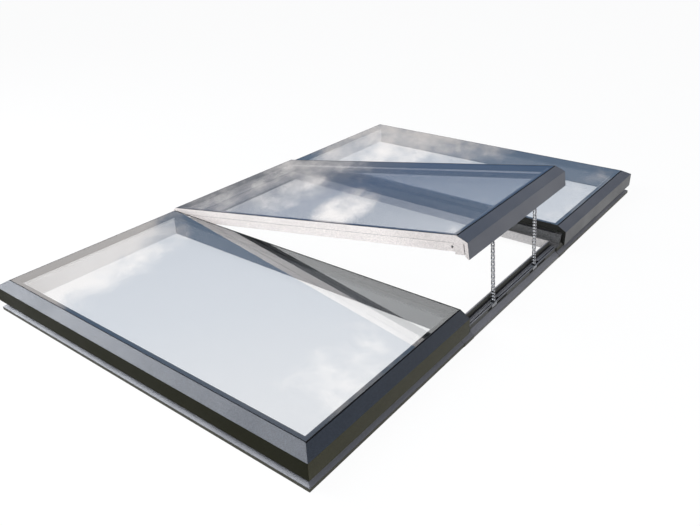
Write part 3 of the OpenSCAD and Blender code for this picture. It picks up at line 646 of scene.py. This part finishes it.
def chain_metal(name, inner):
    mat, tree, out = new_finish(name)
    where = place(tree)
    across = vector_calc(tree, "DOT_PRODUCT", where, tuple(chain_side), "Value")
    off_middle = calc(tree, "ABSOLUTE", calc(tree, "SUBTRACT", across, foot.dot(chain_side)))
    zone = ranged(tree, off_middle, 0.0, 2 * inner, blending="LINEAR")
    # The dark band between bush and plate is painted shade in the gap
    tone = ramp(tree, zone, [(0.0, grey(0.92)), (gap_from, grey(0.03)),
                             (plate_from, (0.44, 0.44, 0.47))], "CONSTANT")
    along = vector_calc(tree, "DOT_PRODUCT", where, tuple(chain_line), "Value")
    steps = calc(tree, "DIVIDE", calc(tree, "SUBTRACT", along, top.dot(chain_line)), pitch)
    shadow = ramp(tree, calc(tree, "PINGPONG", steps, 0.5), [(0.28, grey(1.0)), (0.34, grey(0.05))])
    wear = noise(tree, where, 240.0, 5.0, 0.65)
    worn = ramp(tree, wear, [(0.3, grey(0.85)), (0.7, grey(1.0))])
    tone = blend(tree, 1.0, blend(tree, 1.0, tone, shadow, "MULTIPLY"), worn, "MULTIPLY")
    rough = ramp(tree, wear, [(0.3, grey(0.22)), (0.7, grey(0.4))])
    shader = add(tree, "ShaderNodeBsdfPrincipled")
    feed_all(tree, shader, {"Base Color": tone, "Metallic": 1, "Roughness": rough})
    feed(tree, shader.outputs["BSDF"], out.inputs["Surface"])
    return mat


pin_metal = chain_metal("pin_metal", pin_link_inner)
bush_metal = chain_metal("bush_metal", bush_link_inner)
print("chain metal:", pin_metal.name, bush_metal.name, "pitch", pitch)

# %% [markdown]
# ## The chains
# The two chains are pushed out of their drives as the sash opens, and go back into the drives when it
# closes. A CAD solid can't change its shape, so each chain is a merged copy of its solids with rounded
# edges.

# %% A copy with rounded edges
merge_distance = 0.00001
sharp_angle = math.radians(40)


def rounded_copy(node, name, width):
    bpy.ops.object.select_all(action="DESELECT")
    source = nodes[node]
    source.select_set(True)
    bpy.context.view_layer.objects.active = source
    bpy.ops.object.duplicate()
    piece = bpy.context.view_layer.objects.active
    piece.name = name
    bpy.ops.object.mode_set(mode="EDIT")
    bpy.ops.mesh.select_all(action="SELECT")
    bpy.ops.mesh.remove_doubles(threshold=merge_distance)
    bpy.ops.object.mode_set(mode="OBJECT")
    edge = piece.modifiers.new("edge", "BEVEL")
    edge.width = width
    edge.segments = 2
    edge.limit_method = "ANGLE"
    edge.angle_limit = sharp_angle
    bpy.ops.object.modifier_apply(modifier=edge.name)
    bpy.ops.object.shade_smooth_by_angle(angle=sharp_angle)
    return piece


print("edges sharper than", round(math.degrees(sharp_angle)), "degrees are rounded")

# %% Rounded copies of the chains
edge_width = 0.0003
chain_x = 0.175
for side, x in (("left", -chain_x), ("right", chain_x)):
    for kind, coat in (("pin_links", pin_metal), ("bush_links", bush_metal)):
        node = f"chain_{side}_{kind}"
        piece = rounded_copy(node, f"{side}_{kind}", edge_width)
        piece.data.materials.clear()
        piece.data.materials.append(coat)
        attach(piece, "frame")
        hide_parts(node)
        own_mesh(piece)
        print(piece.name, len(piece.data.polygons), "faces")

# %% [markdown]
# ## Floor
# The floor is plain and white. Seen directly, in a reflection or through a pane it shows its
# own white, and it still takes a soft share of the object's shadow. Light Path tells those
# rays apart from the ones that carry light about.

# %% Floor
floor_size = 60
own_white_share = 0.95
bpy.ops.object.select_all(action="DESELECT")
bpy.ops.mesh.primitive_plane_add(size=floor_size, location=(0, 0, 0))
floor = bpy.context.active_object
floor.name = "floor"
floor_mat, tree, out = new_finish("floor_white")
plain = add(tree, "ShaderNodeBsdfDiffuse")
feed(tree, grey(0.86), plain.inputs["Color"])
own = add(tree, "ShaderNodeEmission")
feed_all(tree, own, {"Color": grey(1.0), "Strength": 1.0})
path = add(tree, "ShaderNodeLightPath").outputs
seen = calc(tree, "MAXIMUM", path["Is Camera Ray"], path["Is Glossy Ray"])
seen = calc(tree, "MAXIMUM", seen, path["Is Transmission Ray"])
share = calc(tree, "MULTIPLY", seen, own_white_share)
both = mix_shaders(tree, share, plain.outputs["BSDF"], own.outputs["Emission"])
feed(tree, both, out.inputs["Surface"])
floor.data.materials.append(floor_mat)
print("floor:", floor.name, floor_size, "m wide")

# %% [markdown]
# ## Sky
# Panes only look like glass when they have something to mirror, so the sky is a dome with a
# few soft clouds. The clear sky is a ramp over the height of a direction, and it is deeper far
# to the right. How far a direction leans to the side and how high it is give a plane of two
# numbers, on which the clouds are laid out below.

# %% Clear sky
world = bpy.data.worlds.new("soft_sky")
scene.world = world
world.use_nodes = True
tree = world.node_tree
tree.nodes.clear()
out = tree.nodes.new("ShaderNodeOutputWorld")
look = add(tree, "ShaderNodeTexCoord").outputs["Generated"]
height = axes(tree, look)["Z"]
to_the_right = (math.sqrt(0.5), -math.sqrt(0.5), 0)
lean = vector_calc(tree, "DOT_PRODUCT", look, to_the_right, "Value")
base = ramp(tree, height, [
    (0.0, (0.32, 0.33, 0.35)), (0.10, (0.26, 0.275, 0.31)), (0.15, (0.125, 0.19, 0.32)),
    (0.20, (0.118, 0.19, 0.32)), (0.30, (0.21, 0.30, 0.44)), (0.36, (0.26, 0.355, 0.495)),
    (0.45, (0.22, 0.325, 0.485)), (0.52, (0.21, 0.32, 0.48)), (0.64, (0.36, 0.42, 0.52)),
    (0.80, (0.14, 0.20, 0.32)), (0.95, (0.06, 0.09, 0.15)),
])
deeper_from, deeper_to, deepest = 0.44, 0.62, 0.5
clear_sky = add(tree, "ShaderNodeVectorMath", operation="SCALE")
feed(tree, base, clear_sky.inputs[0])
feed(tree, ranged(tree, lean, deeper_from, deeper_to, 1.0, deepest), clear_sky.inputs["Scale"])
print("sky:", world.name)

# %% [markdown]
# ## Clouds
# A cloud is a patch on that plane, wider than it is high, that fades outwards. Two noises, one
# of puffs and one of wisps, are added to the patches, and only what rises above a threshold is
# cloud. This breaks up the edges, so that no patch shows as an oval.

# %% Clouds
plane = add(tree, "ShaderNodeCombineXYZ")
feed_all(tree, plane, {"X": lean, "Y": height})
cloud_colour = (1.18, 1.13, 1.11)
patch_core, patch_edge = 0.3, 1.6
wisp_share, puff_share = 0.9, 0.7
cloud_starts, cloud_is_full = 1.0, 1.60
# Each row is a centre and a size on the plane, and a weight
cloud_patches = [
    ((-0.33, 0.385), (0.165, 0.080), 1.25),
    ((0.17, 0.300), (0.17, 0.050), 0.66),
    ((-0.08, 0.120), (0.18, 0.060), 0.34),
    ((0.025, 0.174), (0.055, 0.026), 0.54),
    ((-0.026, 0.124), (0.05, 0.014), 0.48),
    ((0.085, 0.60), (0.11, 0.06), 0.40),
    ((-0.33, 0.45), (0.045, 0.035), 1.0),
    ((0.64, 0.46), (0.22, 0.13), 1.3),
    ((-0.65, 0.40), (0.22, 0.20), 0.8),
]


def cloud_patch(centre, size, weight):
    off = vector_calc(tree, "SUBTRACT", plane.outputs["Vector"], (*centre, 0))
    unit = vector_calc(tree, "DIVIDE", off, (*size, 1))
    distance = vector_calc(tree, "LENGTH", unit, result="Value")
    return ranged(tree, distance, patch_core, patch_edge, weight, 0)


patches = cloud_patch(*cloud_patches[0])
for row in cloud_patches[1:]:
    patches = calc(tree, "MAXIMUM", patches, cloud_patch(*row))
stretch = add(tree, "ShaderNodeMapping")
feed_all(tree, stretch, {"Vector": look, "Location": (0.35, 0.1, 0.2), "Scale": (1.0, 1.0, 1.8)})
puffs = noise(tree, stretch.outputs["Vector"], 7.0, 5.0, 0.6)
wisps = noise(tree, stretch.outputs["Vector"], 26.0, 4.0, 0.6)
torn = calc(tree, "ADD", calc(tree, "MULTIPLY", wisps, wisp_share), patches)
ragged = calc(tree, "ADD", calc(tree, "MULTIPLY", puffs, puff_share), torn)
thickness = ranged(tree, ragged, cloud_starts, cloud_is_full)
sky_colour = blend(tree, thickness, clear_sky.outputs["Vector"], cloud_colour)
print("cloud patches:", len(cloud_patches))

# %% [markdown]
# ## White backdrop
# The photograph's background is plain white. Rays that come straight from the camera, also
# through a pane, get white from the world, and only reflections and light see the sky.

# %% White backdrop
sky = add(tree, "ShaderNodeBackground")
feed_all(tree, sky, {"Color": sky_colour, "Strength": 1.0})
plain_white = add(tree, "ShaderNodeBackground")
feed_all(tree, plain_white, {"Color": grey(1.0), "Strength": 1.0})
path = add(tree, "ShaderNodeLightPath").outputs
straight = calc(tree, "MAXIMUM", path["Is Camera Ray"], path["Is Transmission Ray"])
backdrop = mix_shaders(tree, straight, sky.outputs["Background"], plain_white.outputs["Background"])
feed(tree, backdrop, out.inputs["Surface"])
print("backdrop: white, with the sky in reflections")

# %% [markdown]
# ## Soft lamps
# Three large lamps light the frame softly, as a bright sky would. The left and front lamps are
# kept out of reflections. The back lamp is a long strip whose reflection gives the slopes at
# the left end their shine. In the panes that reflection would be a hard white bar, so light
# linking leaves the panes out of what the back lamp lights.

# %% Soft lamps
def soft_lamp(name, at, aim, size, power, mirrored, along=(1, 0, 0)):
    data = bpy.data.lights.new(name, "AREA")
    data.shape = "RECTANGLE"
    data.size, data.size_y = size
    data.energy = power
    away = (Vector(at) - Vector(aim)).normalized()
    side = (Vector(along) - Vector(along).dot(away) * away).normalized()
    lamp = bpy.data.objects.new(name, data)
    facing_aim = Matrix((side, away.cross(side), away)).transposed().to_4x4()
    lamp.matrix_world = Matrix.Translation(at) @ facing_aim
    lamp.visible_glossy = mirrored
    lamp.visible_camera = False
    scene.collection.objects.link(lamp)
    return lamp


soft_lamp("left_lamp", at=(-5.0, -1.0, 2.6), aim=(0, 0, 0), size=(3.0, 3.0), power=50,
          mirrored=False, along=(0, 1, 0))
soft_lamp("front_lamp", at=(-1.5, -5.5, 3.4), aim=(0, 0, 0), size=(4.0, 3.0), power=190,
          mirrored=False)
back_lamp = soft_lamp("back_lamp", at=(-2.49, 2.41, 3.11), aim=(-1.23, 0, 0.12), size=(5.4, 1.8),
                      power=270, mirrored=True, along=(0.28, 0.70, -0.66))
back_lamp.data.color = (0.92, 0.95, 1.0)
panes = bpy.data.collections.new("panes")
for name, solid in nodes.items():
    if name.startswith("pane_"):
        panes.objects.link(solid)
for member in panes.collection_objects:
    member.light_linking.link_state = "EXCLUDE"
back_lamp.light_linking.receiver_collection = panes
